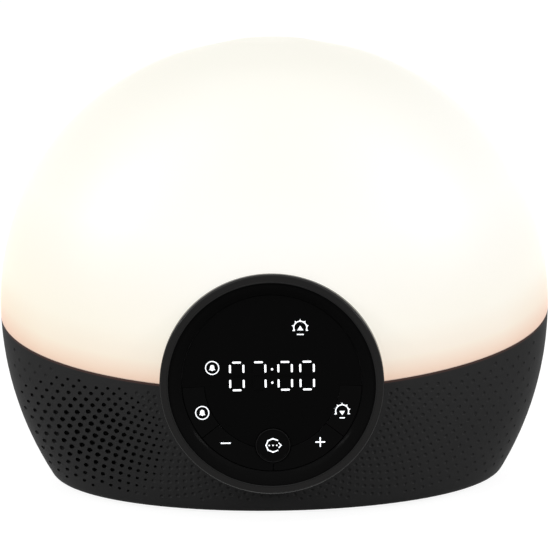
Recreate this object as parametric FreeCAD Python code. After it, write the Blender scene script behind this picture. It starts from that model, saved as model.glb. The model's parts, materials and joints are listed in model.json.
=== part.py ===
"""Bedside sunrise lamp with a clock: a lit dome on a charcoal base, and a round display with keys.

Millimetres. The origin is under the middle of the object on the plane it stands on. The front
faces -Y, +X is to the right of someone who looks at the front, and +Z is up.
"""
import FreeCAD, Part
import math
import os

V = FreeCAD.Vector
X_AXIS = V(1, 0, 0)
Y_AXIS = V(0, 1, 0)
Z_AXIS = V(0, 0, 1)
FAR = 300.0

# Body: an oval form, flat at the back and the bottom
HALF_WIDTH = 108.0
HEIGHT = 176.0
PLAN_RATIO = 0.60
WIDEST_Z = 70.0
DOME_POWER = 2.05
FLANK_R = 132.0
BOTTOM_Z = 1.2
BOTTOM_CORNER_R = 5.2
BODY_Y = 9.0
REAR_SPLIT_Y = 58.0
REAR_Y = 60.5
WALL = 2.5

# Seam between dome and base: a plane that falls towards the front
SEAM_Z = 68.6
SEAM_SLOPE = 13.7
SEAM_REVEAL = 0.35
TONGUE_INSET = 1.3
TONGUE_DEPTH = 3.0
TONGUE_GAP = 0.15

# Display module: its own axes start at the middle of the lip, with Z pointing out
RING_Y = -58.38
RING_Z = 55.95
RING_TILT = 3.0
LIP_R = 42.25
LIP_IN_R = 39.0
LIP_ROUND = 1.0
LIP_IN_ROUND = 0.6
TUBE_R = 40.6
RING_HOLE_R = 40.9
TUBE_END = -20.0
LEDGE_IN_R = 34.5
LEDGE_FRONT = -15.1
CLAMP_R = 46.0
CLAMP_IN_R = 41.2
CLAMP_END = -22.0
CLAMP_SCREW_R = 37.0
FASCIA_IN_R = 34.1
FASCIA_OUT_R = 38.9
FASCIA_FRONT = -0.5
FASCIA_MID = (36.6, -1.15)
FASCIA_EDGE_R = 0.2
WINDOW_R = 33.9
WINDOW_FRONT = -2.9
WINDOW_BACK = -4.6
CARRIER_R = 38.8
CARRIER_BACK = -8.6
CARRIER_RIM_IN_R = 36.6
BOARD_R = 36.3
BOARD_FRONT = -13.4
BOARD_BACK = -15.0

# Keys round the lower edge of the disc
KEY_IN_R = 25.3
KEY_OUT_R = 33.85
KEY_FRONT = -2.8
KEY_BACK = -6.0
KEY_FLANGE_IN_R = 24.5
KEY_FLANGE_FRONT = -4.9
KEY_POCKET_IN_R = 24.0
KEY_POCKET_OUT_R = 34.1
KEY_POCKET_BACK = -7.0
KEY_GAP = 0.2
KEY_ROUND = 0.15
KEY_ICON_R = 29.0
STEM_R = 1.5
STEM_HOLE_R = 1.75
STEM_END = -9.8
TIP_R = 1.0
TIP_END = -11.0
SWITCH_SIDE = 4.4
SWITCH_FRONT = -10.6
SWITCH_HOLE_R = 1.3
SWITCH_HOLE_END = -12.3
OPTIONS_R = 6.6
OPTIONS_Y = -23.9
OPTIONS_FRONT = -2.2
OPTIONS_DISH_R = 6.15
OPTIONS_DISH_DEPTH = 0.45
OPTIONS_ROUND = 0.25
KEY_SPANS = {
    "alarm_key": (182.0, 218.0, 203.0),
    "minus_key": (218.0, 270.0, 232.0),
    "plus_key": (270.0, 322.0, 308.0),
    "light_key": (322.0, 358.0, 337.0),
}

# Clock face
DIGIT_CENTRES = (-13.15, -4.9, 5.05, 13.3)
DIGIT_Y = 2.9
DIGIT_H = 11.36
DIGIT_W = 5.75
SEGMENT_W = 0.68
SEGMENT_GAP = 0.04
SEGMENT_LENGTH_H = 3.3
SEGMENT_LENGTH_V = 3.1
SEGMENT_OFFSET_V = 2.9
SEGMENT_PROUD = 0.03
COLON_X = 0.15
COLON_R = 0.43
COLON_OFFSET = 2.57
CLOCK_TIME = "0700"
SEGMENTS_OF = {"0": "abcdef", "7": "abc"}
MODULE_W = 36.0
MODULE_H = 15.0
MODULE_GAP = 0.3
PIPE_PLACES = ((-22.35, 6.3), (11.0, 21.35))
PIPE_R = 3.6
PIPE_BACK = -12.7

# Speaker field: rays and staggered rings round the display's middle, seen from the front
FIELD_RAYS = 46
FIELD_RAY_START = -1.5
FIELD_RAY_STEP = 2.0
FIELD_RINGS = 26
FIELD_RING_START = 44.6
FIELD_RING_PITCH = 2.266
FIELD_STRETCH = 0.065
FIELD_SEAM_MARGIN = 3.9
FIELD_LOW_Z = 6.6
FIELD_EDGE = 0.955
HOLE_X = -73.0
HOLE_Z = 29.0
HOLE_REACH_X = 31.0
HOLE_REACH_Z = 26.0
HOLE_R_MAX = 1.15
HOLE_R_MIN = 0.55
HOLE_START = 2.5
HOLE_DEPTH = 1.7
HOLE_THROUGH = 5.0
CUT_BATCH = 15
DIMPLE_R = 0.85
DIMPLE_DEPTH = 0.45

# Speaker: its own axes start on the outer surface, with Z pointing out
SPEAKER_X = -70.0
SPEAKER_Z = 28.5
SPEAKER_YAW = 30.0
SPEAKER_DIP = 8.0
SPEAKER_R = 22.5
SPEAKER_OPEN_R = 20.6
SPEAKER_BOSS_R = 23.3
SPEAKER_SEAT = -8.0
GASKET_T = 0.8
FLANGE_T = 1.0
SPEAKER_SCREW_R = 24.6
SPEAKER_SCREW_TURNS = (130.0, 235.0, 345.0)
SPEAKER_SCREW = (2.8, 1.3, 0.8)
SPEAKER_LUG_R = 2.0
SPEAKER_LUG_HOLE = 3.0
BASKET_BACK = -22.0
MAGNET_R = 14.0
MAGNET_T = 7.0
ROLL_MID_R = 16.8
ROLL_R = 2.2
ROLL_T = 0.5
DUST_CAP_R = 5.9
DUST_BALL_R = 9.0
CONE_DEPTH = 6.0

# Lamp: its own axes lie in the seam plane, with Z square to it
TRAY_TOP = -3.2
TRAY_BOTTOM = -5.0
TRAY_INSET = 2.9
POCKET_R = 47.0
POCKET_WALL = 1.2
POCKET_END = -24.8
LIGHT_BOARD = (90.0, 50.0, 1.6)
SINK_PLATE = (80.0, 40.0, 3.0)
SINK_FIN_T = 1.4
SINK_FIN_H = 13.0
SINK_FINS = 9
LAMP_LEAD = (43.0, 8.0)
LAMP_LEAD_R = 1.4
CHIP_SIDE = 3.5
CHIP_H = 0.9
TRAY_POSTS = ((-98.0, -14.0), (98.0, -14.0), (-94.0, 20.0), (94.0, 20.0))
DOME_POSTS = ((-89.3, -28.8), (89.3, -28.8), (-78.2, 36.2), (78.2, 36.2))
POST_R = 5.5
POST_LENGTH = 25.0
TRAY_SCREW_HOLE_R = 1.6
TRAY_BOARD_HOLE_R = 1.0

# Rear cover and jack
COVER_SCREWS = ((-46.0, 20.0), (46.0, 20.0), (-62.0, 67.0), (62.0, 67.0), (0.0, 131.0))
COVER_RIM = 4.0
COVER_RIM_T = 1.6
COVER_RIM_GAP = 0.5
COVER_POST_R = 4.0
COVER_POST_LENGTH = 14.0
COVER_RIB = (2.0, 18.0)
COVER_ROUND = 1.2
VENT_ROWS = 6
VENT_PITCH = 5.0
VENT_W = 34.0
VENT_H = 1.8
VENT_X = 27.0
VENT_Z = 40.0
JACK_X = -18.0
JACK_W = 9.0
JACK_H = 11.0
JACK_FRONT_Y = 46.0
JACK_BACK_Y = 59.9
JACK_BORE_R = 3.15
JACK_BORE_DEPTH = 9.5
JACK_PIN_R = 1.05

# Main board and feet
BOARD_X = (-34.0, 40.0)
BOARD_Y = (2.0, 53.5)
BOARD_Z = 9.0
BOARD_T = 1.6
BOARD_POST_R = 3.0
BOARD_HOLES = ((-29.0, 8.0), (35.0, 8.0), (-29.0, 48.0), (35.0, 48.0))
FEET = ((-60.0, -13.0), (60.0, -13.0), (-45.0, 42.0), (45.0, 42.0))
FOOT_R = 7.0
FOOT_DEPTH = 1.0

# Screws: head radius, head height, shank radius
SCREW_M3 = (2.7, 1.9, 1.4)
SCREW_M2 = (1.9, 1.3, 0.95)
M3_HOLE_R = 1.45
M3_CLEAR_R = 1.7
M2_HOLE_R = 1.0
M2_CLEAR_R = 1.15
SOCKET_SHARE = 0.55

RING_AXES = FreeCAD.Placement(V(0, RING_Y, RING_Z), FreeCAD.Rotation(X_AXIS, 90.0 - RING_TILT))
SEAM_AXES = FreeCAD.Placement(V(0, BODY_Y, SEAM_Z), FreeCAD.Rotation(X_AXIS, SEAM_SLOPE))


def placed(shape, axes):
    """A copy of a shape that was drawn on other axes."""
    moved = shape.copy()
    moved.Placement = axes.multiply(moved.Placement)
    return moved


def joined(shapes):
    """One solid from pieces that touch."""
    first = shapes[0]
    return first.fuse(shapes[1:]).removeSplitter()


def cylinder(radius, low, high, x=0.0, y=0.0):
    """An upright cylinder between two heights."""
    return Part.makeCylinder(radius, high - low, V(x, y, low))


def tube(outer, inner, low, high, x=0.0, y=0.0):
    return cylinder(outer, low, high, x, y).cut(cylinder(inner, low, high, x, y))


def block(x_span, y_span, z_span):
    """A box between pairs of coordinates."""
    size = [span[1] - span[0] for span in (x_span, y_span, z_span)]
    return Part.makeBox(*size, V(x_span[0], y_span[0], z_span[0]))


def centred_block(width, depth, z_span, x=0.0, y=0.0):
    return block((x - width / 2, x + width / 2), (y - depth / 2, y + depth / 2), z_span)


def revolved(points):
    """A solid of revolution round Z from a closed outline of (radius, height) points."""
    outline = [V(r, 0, z) for r, z in points]
    return Part.Face(Part.makePolygon(outline + outline[:1])).revolve(V(), Z_AXIS, 360)


def bolt(kind, head_top, tip, x=0.0, y=0.0):
    """A screw whose head faces +Z, with a round driver socket."""
    head_r, head_h, shank_r = kind
    head = cylinder(head_r, head_top - head_h, head_top, x, y)
    socket = cylinder(head_r * SOCKET_SHARE, head_top - head_h / 2, head_top, x, y)
    shank = cylinder(shank_r, tip, head_top - head_h / 2, x, y)
    return joined([head, shank]).cut(socket)


def power_arch(half_width, rise, base_z):
    """Points of the dome's side, from the widest level up to the top."""
    steps = 10
    points = []
    for step in range(steps + 1):
        angle = math.pi / 2 * step / steps
        across = half_width * math.cos(angle) ** (2 / DOME_POWER) if step < steps else 0.0
        points.append(V(0, across, base_z + rise * math.sin(angle) ** (2 / DOME_POWER)))
    return points


def body(inset):
    """The whole outer form, drawn in by inset on every side: a front half and a back half."""
    half_width = HALF_WIDTH - inset
    ratio = (HALF_WIDTH * PLAN_RATIO - inset) / half_width
    low = BOTTOM_Z + inset
    corner = max(BOTTOM_CORNER_R - inset, 2.0)
    flank_r = FLANK_R - inset
    middle = half_width - flank_r
    corner_z = low + corner
    corner_y = middle + math.sqrt((flank_r - corner) ** 2 - (WIDEST_Z - corner_z) ** 2)
    reach = math.atan2(corner_z - WIDEST_Z, corner_y - middle)

    def on_flank(angle):
        return V(0, middle + flank_r * math.cos(angle), WIDEST_Z + flank_r * math.sin(angle))

    def on_corner(angle):
        return V(0, corner_y + corner * math.cos(angle), corner_z + corner * math.sin(angle))

    half_turn = (reach - math.pi / 2) / 2
    arch = Part.BSplineCurve()
    arch.interpolate(Points=power_arch(half_width, HEIGHT - inset - WIDEST_Z, WIDEST_Z),
                     InitialTangent=V(0, 0, 1), FinalTangent=V(0, -1, 0))
    edges = [
        Part.LineSegment(V(0, 0, low), on_corner(-math.pi / 2)).toShape(),
        Part.Arc(on_corner(-math.pi / 2), on_corner(half_turn), on_corner(reach)).toShape(),
        Part.Arc(on_flank(reach), on_flank(reach / 2), on_flank(0)).toShape(),
        arch.toShape(),
        Part.LineSegment(V(0, 0, HEIGHT - inset), V(0, 0, low)).toShape(),
    ]
    squash = FreeCAD.Matrix()
    squash.scale(1, ratio, 1)
    halves = []
    for start in (90, 270):
        outline = Part.Face(Part.Wire(edges))
        outline.rotate(V(), Z_AXIS, start)
        halves.append(outline.revolve(V(), Z_AXIS, 180).transformGeometry(squash))
    oval = halves[0].fuse(halves[1])
    oval.translate(V(0, BODY_Y, 0))
    return oval


def radius_at(z):
    """Half-width of the outer form at a height under the widest level."""
    return HALF_WIDTH - FLANK_R + math.sqrt(FLANK_R ** 2 - (z - WIDEST_Z) ** 2)


def front_y(x, z):
    """Where the outer surface of the lower front is."""
    return BODY_Y - PLAN_RATIO * math.sqrt(radius_at(z) ** 2 - x ** 2)


def front_normal(x, z):
    """The outward direction there, from the slopes of the surface."""
    step = 0.05
    along_x = V(2 * step, front_y(x + step, z) - front_y(x - step, z), 0)
    along_z = V(0, front_y(x, z + step) - front_y(x, z - step), 2 * step)
    return along_x.cross(along_z).normalize()


def seam_slab(low, high):
    """Space between two planes parallel to the seam."""
    return placed(centred_block(2 * FAR, 2 * FAR, (low, high)), SEAM_AXES)


def y_slab(low, high):
    return block((-FAR, FAR), (low, high), (-FAR, FAR))


OUTER = body(0.0)
SKIN = body(1.0)
TONGUE = body(TONGUE_INSET)
INNER = body(WALL)
RING_BORE = placed(cylinder(RING_HOLE_R, -30.0, 10.0), RING_AXES)
IN_FRONT = y_slab(-FAR, REAR_SPLIT_Y)


def seam_post(x, y, low, high, hole_low, hole_high):
    """A screw post square to the seam plane, trimmed to end inside the wall."""
    post = placed(cylinder(POST_R, low, high, x, y), SEAM_AXES).common(TONGUE)
    hole = placed(cylinder(M3_HOLE_R, hole_low, hole_high, x, y), SEAM_AXES)
    return post, hole


def cover_post(x, z):
    """A screw post for the rear cover, with a rib to the nearest wall."""
    start_y = REAR_SPLIT_Y - COVER_POST_LENGTH
    post = Part.makeCylinder(COVER_POST_R, COVER_POST_LENGTH, V(x, start_y, z), Y_AXIS)
    rib_y = (start_y, REAR_SPLIT_Y - COVER_RIM - COVER_RIM_GAP)
    half_t = COVER_RIB[0] / 2
    if x == 0.0:
        rib = block((-half_t, half_t), rib_y, (z, z + COVER_RIB[1]))
    else:
        outward = (x, x + math.copysign(COVER_RIB[1], x))
        rib = block((min(outward), max(outward)), rib_y, (z - half_t, z + half_t))
    blind = 2.0
    hole = Part.makeCylinder(M3_HOLE_R, COVER_POST_LENGTH - blind, V(x, start_y + blind, z), Y_AXIS)
    return post.fuse(rib).common(SKIN), hole


def diffuser_dome():
    """The lit shell, with a tongue inside the base and posts for its screws."""
    cap = OUTER.common(seam_slab(SEAM_REVEAL, FAR))
    tongue = TONGUE.common(seam_slab(-TONGUE_DEPTH, SEAM_REVEAL + 0.5))
    dome = cap.fuse(tongue).cut(INNER).common(IN_FRONT).cut(RING_BORE)
    posts = [seam_post(x, y, TRAY_TOP + 0.1, 9.0, -10.0, 7.0) for x, y in DOME_POSTS]
    posts.append(cover_post(*COVER_SCREWS[4]))
    return with_posts(dome, posts)


def with_posts(shell, posts):
    """A shell with its screw posts, added one at a time, and then their holes."""
    for post, hole in posts:
        shell = shell.fuse(post.common(IN_FRONT))
    return shell.cut([hole for post, hole in posts])


def field_points():
    """Places of the speaker field on both flanks, as (x, z). Every other ring is half a step round."""
    for ray in range(FIELD_RAYS):
        fall = math.radians(FIELD_RAY_START + FIELD_RAY_STEP * ray)
        for ring in range(1 - ray % 2, FIELD_RINGS, 2):
            reach = FIELD_RING_START + FIELD_RING_PITCH * ring
            reach *= 1 + FIELD_STRETCH * math.sin(fall)
            x = reach * math.cos(fall)
            z = RING_Z - reach * math.sin(fall)
            if z < FIELD_LOW_Z or x > FIELD_EDGE * radius_at(z):
                continue
            seam_z = SEAM_Z + (front_y(x, z) - BODY_Y) * math.tan(math.radians(SEAM_SLOPE))
            if z < seam_z - FIELD_SEAM_MARGIN:
                yield -x, z
                yield x, z


def flank_cutters():
    """Holes on the left, open over the speaker, and shallow dimples on the right."""
    cutters = []
    for x, z in field_points():
        surface = V(x, front_y(x, z), z)
        away = math.hypot((x - HOLE_X) / HOLE_REACH_X, (z - HOLE_Z) / HOLE_REACH_Z)
        if away < 1.0:
            radius = HOLE_R_MAX - (HOLE_R_MAX - HOLE_R_MIN) * away ** 2
            from_speaker = SPEAKER_AXES.inverse().multVec(surface)
            off_axis = math.hypot(from_speaker.x, from_speaker.y)
            through = off_axis < SPEAKER_OPEN_R - 2.0 * HOLE_R_MAX
            depth = HOLE_THROUGH if through else HOLE_DEPTH
            start = surface - Y_AXIS * HOLE_START
            cutters.append(Part.makeCylinder(radius, HOLE_START + depth, start, Y_AXIS))
        else:
            ball_r = (DIMPLE_R ** 2 + DIMPLE_DEPTH ** 2) / (2 * DIMPLE_DEPTH)
            centre = surface + front_normal(x, z) * (ball_r - DIMPLE_DEPTH)
            cutters.append(Part.makeSphere(ball_r, centre))
    return cutters


def speaker_axes():
    turn = FreeCAD.Rotation(Z_AXIS, -SPEAKER_YAW).multiply(FreeCAD.Rotation(X_AXIS, 90.0 + SPEAKER_DIP))
    return FreeCAD.Placement(V(SPEAKER_X, front_y(SPEAKER_X, SPEAKER_Z), SPEAKER_Z), turn)


SPEAKER_AXES = speaker_axes()
SPEAKER_SCREWS = []
for screw_turn in SPEAKER_SCREW_TURNS:
    around = math.radians(screw_turn)
    SPEAKER_SCREWS.append((SPEAKER_SCREW_R * math.cos(around), SPEAKER_SCREW_R * math.sin(around)))


def base_shell():
    """The charcoal base: speaker holes, posts for what it carries, recesses for the feet."""
    shell = OUTER.common(seam_slab(-FAR, 0.0)).cut(INNER)
    rebate = body(TONGUE_INSET - TONGUE_GAP).common(seam_slab(-TONGUE_DEPTH - 0.2, 1.0))
    shell = shell.cut(rebate).common(IN_FRONT).cut(RING_BORE)
    posts = [seam_post(x, y, TRAY_BOTTOM - POST_LENGTH, TRAY_BOTTOM, TRAY_BOTTOM - 10.0, TRAY_BOTTOM)
             for x, y in TRAY_POSTS]
    posts += [cover_post(x, z) for x, z in COVER_SCREWS[:4]]
    posts += [(cylinder(BOARD_POST_R, BOTTOM_Z + WALL / 2, BOARD_Z, x, y),
               cylinder(M2_HOLE_R, BOARD_Z - 4.0, BOARD_Z, x, y)) for x, y in BOARD_HOLES]
    seat = placed(tube(SPEAKER_BOSS_R, SPEAKER_OPEN_R, SPEAKER_SEAT, 20.0), SPEAKER_AXES)
    shell = shell.fuse(seat.common(SKIN))
    lug_end = SPEAKER_SEAT - GASKET_T - FLANGE_T
    for x, y in SPEAKER_SCREWS:
        lug = placed(cylinder(SPEAKER_LUG_R, lug_end, 20.0, x, y), SPEAKER_AXES).common(SKIN)
        hole = cylinder(SPEAKER_SCREW[2] + 0.05, lug_end, lug_end + SPEAKER_LUG_HOLE, x, y)
        posts.append((lug, placed(hole, SPEAKER_AXES)))
    shell = with_posts(shell, posts)
    shell = shell.cut([cylinder(FOOT_R + 0.15, 0.0, BOTTOM_Z + FOOT_DEPTH, x, y) for x, y in FEET])
    cutters = flank_cutters()
    for start in range(0, len(cutters), CUT_BATCH):
        shell = shell.cut(cutters[start:start + CUT_BATCH])
    return shell


def rounded_rim(solid, y, radius):
    """Round the outer edge that lies in the plane at y."""
    longest = max((edge for edge in solid.Edges if abs(edge.BoundBox.YMin - y) < 0.01
                   and abs(edge.BoundBox.YMax - y) < 0.01), key=lambda edge: edge.Length)
    return solid.makeFillet(radius, [longest])


def rear_cover():
    """The flat back: a plate that carries on the body's form, with a rim inside the shells."""
    plate = rounded_rim(OUTER.common(y_slab(REAR_SPLIT_Y, REAR_Y)), REAR_Y, COVER_ROUND)
    rim = body(WALL + 0.25).cut(body(WALL + 0.25 + COVER_RIM_T))
    rim = rim.common(y_slab(REAR_SPLIT_Y - COVER_RIM, REAR_SPLIT_Y + 0.5))
    cover = plate.fuse(rim)
    cuts = []
    for x, z in COVER_SCREWS:
        cuts.append(Part.makeCylinder(M3_CLEAR_R, 10.0, V(x, REAR_SPLIT_Y - 5.0, z), Y_AXIS))
        head_seat = V(x, REAR_Y - SCREW_M3[1] - 0.2, z)
        cuts.append(Part.makeCylinder(SCREW_M3[0] + 0.3, 3.0, head_seat, Y_AXIS))
        cuts.append(Part.makeCylinder(COVER_POST_R + 0.3, COVER_RIM + 1.0,
                                      V(x, REAR_SPLIT_Y - COVER_RIM - 1.0, z), Y_AXIS))
    for x, y in DOME_POSTS[2:] + TRAY_POSTS[2:]:
        cuts.append(placed(cylinder(POST_R + 1.0, -FAR, FAR, x, y), SEAM_AXES).common(IN_FRONT))
    half_h = VENT_H / 2
    end = VENT_W / 2 - half_h
    for row in range(VENT_ROWS):
        z = VENT_Z + row * VENT_PITCH
        for middle in (-VENT_X, VENT_X):
            cuts.append(centred_block(2 * end, 10.0, (z - half_h, z + half_h), middle, REAR_Y))
            for x in (middle - end, middle + end):
                cuts.append(Part.makeCylinder(half_h, 10.0, V(x, REAR_Y - 5.0, z), Y_AXIS))
    jack_z = BOARD_Z + BOARD_T
    cuts.append(block((JACK_X - JACK_W / 2 - 0.2, JACK_X + JACK_W / 2 + 0.2), (50.0, FAR),
                      (jack_z - 0.2, jack_z + JACK_H + 0.2)))
    cuts.append(block((BOARD_X[0] - 1, BOARD_X[1] + 1), (0.0, BOARD_Y[1] + 1), (BOARD_Z - 2, BOARD_Z + 4)))
    return cover.cut(cuts)


def rear_cover_screws():
    turn = FreeCAD.Rotation(X_AXIS, -90)
    screws = []
    for x, z in COVER_SCREWS:
        axes = FreeCAD.Placement(V(x, REAR_Y - 0.1, z), turn)
        screws.append(placed(bolt(SCREW_M3, 0.0, -11.0), axes))
    return screws


def rubber_feet():
    return [cylinder(FOOT_R, 0.0, BOTTOM_Z + FOOT_DEPTH, x, y) for x, y in FEET]


def display_collar():
    """The matte lip and its tube. Its skirt ends on the curved front of the shells."""
    back = -18.0
    half = math.sqrt(0.5)
    lip = [
        Part.LineSegment(V(LIP_IN_R, 0, back), V(LIP_IN_R, 0, -LIP_IN_ROUND)).toShape(),
        Part.Arc(V(LIP_IN_R, 0, -LIP_IN_ROUND),
                 V(LIP_IN_R + LIP_IN_ROUND * (1 - half), 0, -LIP_IN_ROUND * (1 - half)),
                 V(LIP_IN_R + LIP_IN_ROUND, 0, 0)).toShape(),
        Part.LineSegment(V(LIP_IN_R + LIP_IN_ROUND, 0, 0), V(LIP_R - LIP_ROUND, 0, 0)).toShape(),
        Part.Arc(V(LIP_R - LIP_ROUND, 0, 0),
                 V(LIP_R - LIP_ROUND * (1 - half), 0, -LIP_ROUND * (1 - half)),
                 V(LIP_R, 0, -LIP_ROUND)).toShape(),
        Part.LineSegment(V(LIP_R, 0, -LIP_ROUND), V(LIP_R, 0, back)).toShape(),
        Part.LineSegment(V(LIP_R, 0, back), V(LIP_IN_R, 0, back)).toShape(),
    ]
    skirt = placed(Part.Face(Part.Wire(lip)).revolve(V(), Z_AXIS, 360), RING_AXES).cut(OUTER)
    barrel = tube(TUBE_R, LIP_IN_R, TUBE_END, -1.5)
    ledge = tube(LIP_IN_R + 0.5, LEDGE_IN_R, TUBE_END, LEDGE_FRONT)
    inside = placed(joined([barrel, ledge]), RING_AXES)
    holes = []
    for x, y in clamp_places():
        holes.append(placed(cylinder(M2_HOLE_R, TUBE_END, TUBE_END + 4.0, x, y), RING_AXES))
    return skirt.fuse(inside).removeSplitter().cut(holes)


def clamp_places():
    angles = [math.radians(45.0 + 90.0 * step) for step in range(4)]
    return [(CLAMP_SCREW_R * math.cos(a), CLAMP_SCREW_R * math.sin(a)) for a in angles]


def clamp_ring():
    """The ring that draws the collar against the shells from inside."""
    ring = tube(CLAMP_R, LEDGE_IN_R, CLAMP_END, TUBE_END - 0.1)
    wall = tube(CLAMP_R, CLAMP_IN_R, CLAMP_END, 5.0)
    pressed = placed(wall, RING_AXES).common(body(WALL + 0.1))
    holes = [placed(cylinder(M2_CLEAR_R, CLAMP_END - 1, 0.0, x, y), RING_AXES) for x, y in clamp_places()]
    return placed(ring, RING_AXES).fuse(pressed).removeSplitter().cut(holes)


def clamp_screws():
    turn = FreeCAD.Placement(V(0, 0, CLAMP_END), FreeCAD.Rotation(X_AXIS, 180))
    top = SCREW_M2[1]
    return [placed(placed(bolt(SCREW_M2, top, -5.0, x, y), turn), RING_AXES) for x, y in clamp_places()]


def fascia_ring():
    """The gloss ring that dips from the lip to the disc, with a rounded inner edge."""
    edge_r = FASCIA_IN_R + FASCIA_EDGE_R
    edge_z = WINDOW_FRONT + 0.15
    half = FASCIA_EDGE_R * math.sqrt(0.5)
    dip_end = V(edge_r, 0, edge_z + FASCIA_EDGE_R)
    wall_top = V(FASCIA_IN_R, 0, edge_z)
    edges = [
        Part.Arc(V(FASCIA_OUT_R, 0, FASCIA_FRONT), V(FASCIA_MID[0], 0, FASCIA_MID[1]), dip_end).toShape(),
        Part.Arc(dip_end, V(edge_r - half, 0, edge_z + half), wall_top).toShape(),
        Part.LineSegment(wall_top, V(FASCIA_IN_R, 0, WINDOW_BACK)).toShape(),
        Part.LineSegment(V(FASCIA_IN_R, 0, WINDOW_BACK), V(FASCIA_OUT_R, 0, WINDOW_BACK)).toShape(),
        Part.LineSegment(V(FASCIA_OUT_R, 0, WINDOW_BACK), V(FASCIA_OUT_R, 0, FASCIA_FRONT)).toShape(),
    ]
    return placed(Part.Face(Part.Wire(edges)).revolve(V(), Z_AXIS, 360), RING_AXES)


def sector(inner, outer, start, end, low, high):
    """A piece of a ring between two angles."""
    wedge = Part.makeCylinder(outer, high - low, V(0, 0, low), Z_AXIS, end - start)
    wedge = wedge.cut(cylinder(inner, low, high))
    wedge.rotate(V(), Z_AXIS, start)
    return wedge


def key(name):
    """A key of the lower band: a cap, a hidden flange, and a stem whose tip enters its switch."""
    start, end, stem_angle = KEY_SPANS[name]
    margin = math.degrees(KEY_GAP / 2 / KEY_ICON_R)
    cap = sector(KEY_IN_R + KEY_GAP, KEY_OUT_R, start + margin, end - margin, KEY_BACK, KEY_FRONT)
    cap = cap.cut(cylinder(OPTIONS_R + KEY_GAP, -FAR, FAR, 0, OPTIONS_Y))
    cap = cap.cut(cylinder(OPTIONS_R + 2.0, -FAR, KEY_FLANGE_FRONT + 0.9, 0, OPTIONS_Y))
    front_edges = [edge for edge in cap.Edges if abs(edge.BoundBox.ZMin - KEY_FRONT) < 0.01]
    cap = cap.makeFillet(KEY_ROUND, front_edges)
    flange = sector(KEY_FLANGE_IN_R, KEY_OUT_R, start + margin, end - margin, KEY_BACK, KEY_FLANGE_FRONT)
    flange = flange.cut(cylinder(OPTIONS_R + 2.0, -FAR, FAR, 0, OPTIONS_Y))
    x = KEY_ICON_R * math.cos(math.radians(stem_angle))
    y = KEY_ICON_R * math.sin(math.radians(stem_angle))
    stem = cylinder(STEM_R, STEM_END, KEY_BACK + 0.5, x, y)
    tip = cylinder(TIP_R, TIP_END, STEM_END + 0.5, x, y)
    return placed(joined([cap, flange, stem, tip]), RING_AXES)


def options_button():
    """The round cap in the middle of the band, with a dished face inside a thin rim."""
    cap = cylinder(OPTIONS_R, KEY_BACK, OPTIONS_FRONT, 0, OPTIONS_Y)
    rim = [edge for edge in cap.Edges if abs(edge.BoundBox.ZMin - OPTIONS_FRONT) < 0.01]
    cap = cap.makeFillet(OPTIONS_ROUND, rim)
    floor_z = OPTIONS_FRONT - OPTIONS_DISH_DEPTH
    dish = cylinder(OPTIONS_DISH_R, floor_z, OPTIONS_FRONT + 1.0, 0, OPTIONS_Y)
    foot = [edge for edge in dish.Edges if abs(edge.BoundBox.ZMax - floor_z) < 0.01]
    dish = dish.makeFillet(OPTIONS_DISH_DEPTH - 0.05, foot)
    flange = cylinder(OPTIONS_R + 1.0, KEY_BACK, KEY_FLANGE_FRONT, 0, OPTIONS_Y)
    stem = cylinder(STEM_R, STEM_END, KEY_BACK + 0.5, 0, OPTIONS_Y)
    tip = cylinder(TIP_R, TIP_END, STEM_END + 0.5, 0, OPTIONS_Y)
    return placed(joined([cap.cut(dish), flange, stem, tip]), RING_AXES)


def stem_places():
    places = []
    for start, end, stem_angle in KEY_SPANS.values():
        angle = math.radians(stem_angle)
        places.append((KEY_ICON_R * math.cos(angle), KEY_ICON_R * math.sin(angle)))
    return places + [(0.0, OPTIONS_Y)]


def segment_bar(letter, x, low, high, grow=0.0):
    """One rounded segment of a digit, by its usual letter."""
    half_w = (DIGIT_W - SEGMENT_W) / 2
    half_h = (DIGIT_H - SEGMENT_W) / 2
    level = {"a": half_h, "g": 0.0, "d": -half_h}
    side = {"b": (half_w, 1), "c": (half_w, -1), "e": (-half_w, -1), "f": (-half_w, 1)}
    radius = SEGMENT_W / 2 + grow
    if letter in level:
        reach = (SEGMENT_LENGTH_H - SEGMENT_W) / 2
        y = DIGIT_Y + level[letter]
        ends = [(x - reach, y), (x + reach, y)]
        bar = block((x - reach, x + reach), (y - radius, y + radius), (low, high))
    else:
        reach = (SEGMENT_LENGTH_V - SEGMENT_W) / 2
        across, up = side[letter]
        y = DIGIT_Y + up * SEGMENT_OFFSET_V
        ends = [(x + across, y - reach), (x + across, y + reach)]
        bar = block((x + across - radius, x + across + radius), (y - reach, y + reach), (low, high))
    return joined([bar] + [cylinder(radius, low, high, *end) for end in ends])


def segments(lit, low, high, grow=0.0):
    """Every segment that is lit, or every one that isn't, and the colon with the lit ones."""
    bars = []
    for x, figure in zip(DIGIT_CENTRES, CLOCK_TIME):
        for letter in "abcdefg":
            if (letter in SEGMENTS_OF[figure]) == lit:
                bars.append(segment_bar(letter, x, low, high, grow))
    if lit:
        for offset in (-COLON_OFFSET, COLON_OFFSET):
            bars.append(cylinder(COLON_R + grow, low, high, COLON_X, DIGIT_Y + offset))
    return bars


def display_window():
    """The gloss black disc, open for the keys and for the tips of the digit light guides."""
    window = cylinder(WINDOW_R, WINDOW_BACK, WINDOW_FRONT)
    window = window.cut(sector(KEY_IN_R, WINDOW_R + 1, 182.0, 358.0, WINDOW_BACK, WINDOW_FRONT))
    window = window.cut(cylinder(OPTIONS_R + KEY_GAP, WINDOW_BACK, WINDOW_FRONT, 0, OPTIONS_Y))
    for lit in (True, False):
        window = window.cut(segments(lit, WINDOW_BACK, WINDOW_FRONT, SEGMENT_GAP))
    return placed(window, RING_AXES)


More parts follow.
